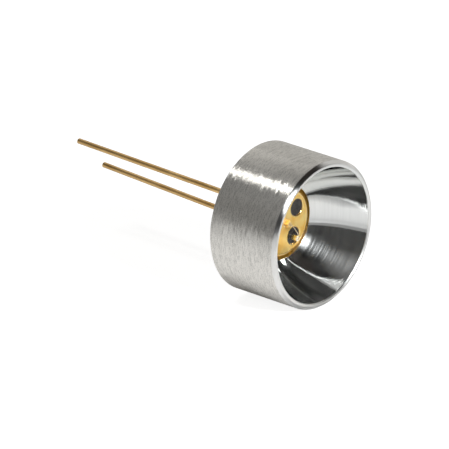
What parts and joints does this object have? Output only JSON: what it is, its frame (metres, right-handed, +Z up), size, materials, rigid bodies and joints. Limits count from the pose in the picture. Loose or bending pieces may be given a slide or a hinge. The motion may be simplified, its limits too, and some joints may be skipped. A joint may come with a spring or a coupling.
{
  "type": "infrared led",
  "caption": "Infrared LED: a gold-plated header with an emitter chip and wire leads, fixed in the back of a turned aluminium cup with a polished mirror bowl.",
  "frame": {"origin": "centre of the cup's rear face, on the optical axis", "axes": "+X along the optical axis, the way the light leaves; the leads run towards -X; +Z up, with the barrel lying on its side as in the picture"},
  "size_m": [0.0197, 0.0094, 0.0094],
  "materials": {
    "turned_aluminium": "satin turned outside, mirror polished in the bowl",
    "gold_plate": "satin gold plate",
    "gold_lead": "gold plated wire, slightly dull",
    "sealing_glass": "opaque near-black glass, glossy",
    "chip": "polished semiconductor with a gold contact",
    "silver_epoxy": "silver-filled adhesive, dull",
    "gold_wire": "bright gold wire",
    "epoxy": "cured dark epoxy"
  },
  "bodies": {
    "root": {"reflector": "turned_aluminium", "header_eyelet": "gold_plate", "glass_fill": "sealing_glass", "anode_lead": "gold_lead", "case_lead": "gold_lead", "led_chip": "chip", "die_attach": "silver_epoxy", "bond_wire": "gold_wire", "adhesive_ring": "epoxy"}
  },
  "joints": []
}
